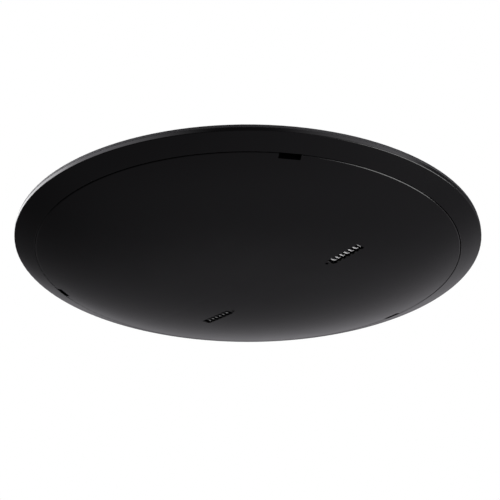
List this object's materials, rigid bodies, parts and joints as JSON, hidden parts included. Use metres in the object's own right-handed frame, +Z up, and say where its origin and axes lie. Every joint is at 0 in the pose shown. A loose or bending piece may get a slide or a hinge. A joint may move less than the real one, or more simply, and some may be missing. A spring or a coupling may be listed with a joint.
{
  "type": "ceiling access point",
  "caption": "Round ceiling wireless access point: shallow black dish cover in a slim trim ring, finned cast rear housing, internals and a twist-lock ceiling bracket.",
  "frame": {"origin": "centre of the ceiling bracket's screw pattern, on its top face, which lies on the ceiling", "axes": "+Z up into the ceiling; the unit hangs down -Z; one tool slot faces -Y and the sockets open towards +Y; the dish, its ring and its slots are symmetric about the YZ plane"},
  "size_m": [0.24, 0.24, 0.0382],
  "materials": {
    "black_plastic": "satin black, fine moulded grain",
    "latch_plastic": "matt black acetal",
    "vent_plastic": "satin white",
    "vent_fabric": "fine black woven mesh",
    "cast_housing": "dark powder coat on die casting",
    "plated_steel": "zinc-plated sheet",
    "spring_steel": "bright spring steel",
    "fastener_steel": "plated",
    "circuit_board": "green solder mask",
    "chip_black": "moulded epoxy",
    "tinned_steel": "tin plate",
    "thermal_rubber": "soft silicone pad",
    "ferrite": "ferrite and tape",
    "capacitor_can": "drawn can",
    "contact_gold": "gold flash",
    "socket_plastic": "moulded nylon",
    "reflector_aluminium": "rolled sheet",
    "antenna_brass": "tarnished sheet brass",
    "spacer_brass": "turned"
  },
  "bodies": {
    "ceiling_mount": {"ceiling_bracket": "plated_steel", "lock_spring": "spring_steel", "lock_rivets": "fastener_steel"},
    "unit": {"dish_cover": "black_plastic", "trim_ring": "black_plastic", "vent_insert_1": "vent_plastic", "vent_insert_2": "vent_plastic", "vent_mesh_1": "vent_fabric", "vent_mesh_2": "vent_fabric", "rear_housing": "cast_housing", "latch_spring_1": "spring_steel", "latch_spring_2": "spring_steel", "latch_spring_3": "spring_steel", "mounting_studs": "fastener_steel", "ring_screws": "fastener_steel", "stack_screws": "fastener_steel", "main_board": "circuit_board", "processor": "chip_black", "memory_chips": "chip_black", "radio_shields": "tinned_steel", "ethernet_jack_1": "tinned_steel", "ethernet_jack_2": "tinned_steel", "thermal_pads": "thermal_rubber", "poe_transformer": "ferrite", "capacitors": "capacitor_can", "jack_contacts_1": "contact_gold", "jack_contacts_2": "contact_gold", "feed_pins": "contact_gold", "power_jack": "socket_plastic", "reset_switch": "socket_plastic", "antenna_plate": "reflector_aluminium", "antennas": "antenna_brass", "plate_spacers": "spacer_brass"},
    "latch_1": {"cover_latch_1": "latch_plastic"},
    "latch_2": {"cover_latch_2": "latch_plastic"},
    "latch_3": {"cover_latch_3": "latch_plastic"},
    "reset": {"reset_button": "latch_plastic"}
  },
  "joints": [
    {"name": "unit_twist", "type": "hinge", "parent": "ceiling_mount", "child": "unit", "pos_m": [0, 0, 0], "axis": [0, 0, 1], "range_deg": [0, 18], "deforming": ["lock_spring"]},
    {"name": "latch_slide_1", "type": "slide", "parent": "unit", "child": "latch_1", "axis": [0, 1, 0], "range_m": [0, 0.0035], "stiffness_N_per_m": 400, "springref_m": -0.002, "deforming": ["latch_spring_1"]},
    {"name": "latch_slide_2", "type": "slide", "parent": "unit", "child": "latch_2", "axis": [-0.866, -0.5, 0], "range_m": [0, 0.0035], "stiffness_N_per_m": 400, "springref_m": -0.002, "deforming": ["latch_spring_2"]},
    {"name": "latch_slide_3", "type": "slide", "parent": "unit", "child": "latch_3", "axis": [0.866, -0.5, 0], "range_m": [0, 0.0035], "stiffness_N_per_m": 400, "springref_m": -0.002, "deforming": ["latch_spring_3"]},
    {"name": "reset_press", "type": "slide", "parent": "unit", "child": "reset", "axis": [0, -1, 0], "range_m": [0, 0.0008], "stiffness_N_per_m": 1200, "springref_m": -0.0005}
  ]
}
